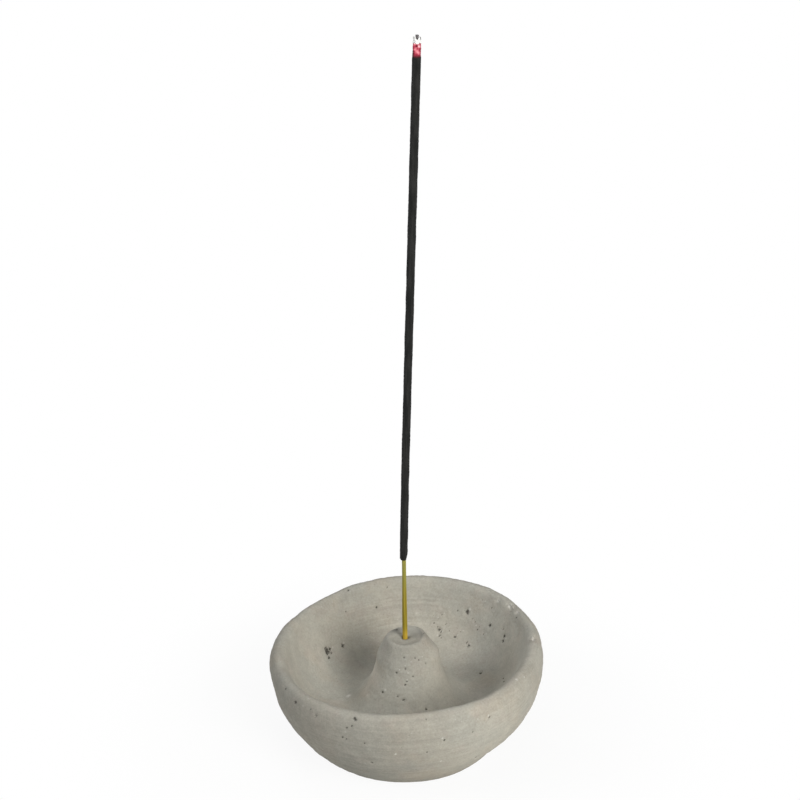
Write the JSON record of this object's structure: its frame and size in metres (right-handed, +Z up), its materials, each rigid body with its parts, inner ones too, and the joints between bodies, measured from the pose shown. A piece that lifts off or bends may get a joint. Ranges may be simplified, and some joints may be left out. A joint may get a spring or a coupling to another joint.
{
  "type": "incense stick holder",
  "caption": "Rough round stone bowl with a cone-shaped boss in its middle; a hole in the boss holds a burning incense stick upright and the bowl round it catches the ash.",
  "frame": {"origin": "on the flat foot, below the middle of the bowl's widest ring", "axes": "+Z up, +X to the right as the picture shows the holder, -Y towards the viewer"},
  "size_m": [0.1006, 0.1008, 0.2584],
  "materials": {
    "rough_stone": "rough turned grey stone with pores and turning rings",
    "bamboo": "bare split bamboo, charred black at its upper end",
    "charcoal_paste": "matt black incense paste",
    "ember": "glowing paste under thin ash",
    "ash": "crumbling pale ash"
  },
  "bodies": {
    "holder": {"bowl": "rough_stone"},
    "stick": {"bamboo_core": "bamboo", "charcoal_coat": "charcoal_paste", "ember": "ember", "ash_tip": "ash"}
  },
  "joints": [
    {"name": "stick_lift", "type": "slide", "parent": "holder", "child": "stick", "axis": [-0.0168, 0, 0.9999], "range_m": [0, 0.03]}
  ]
}
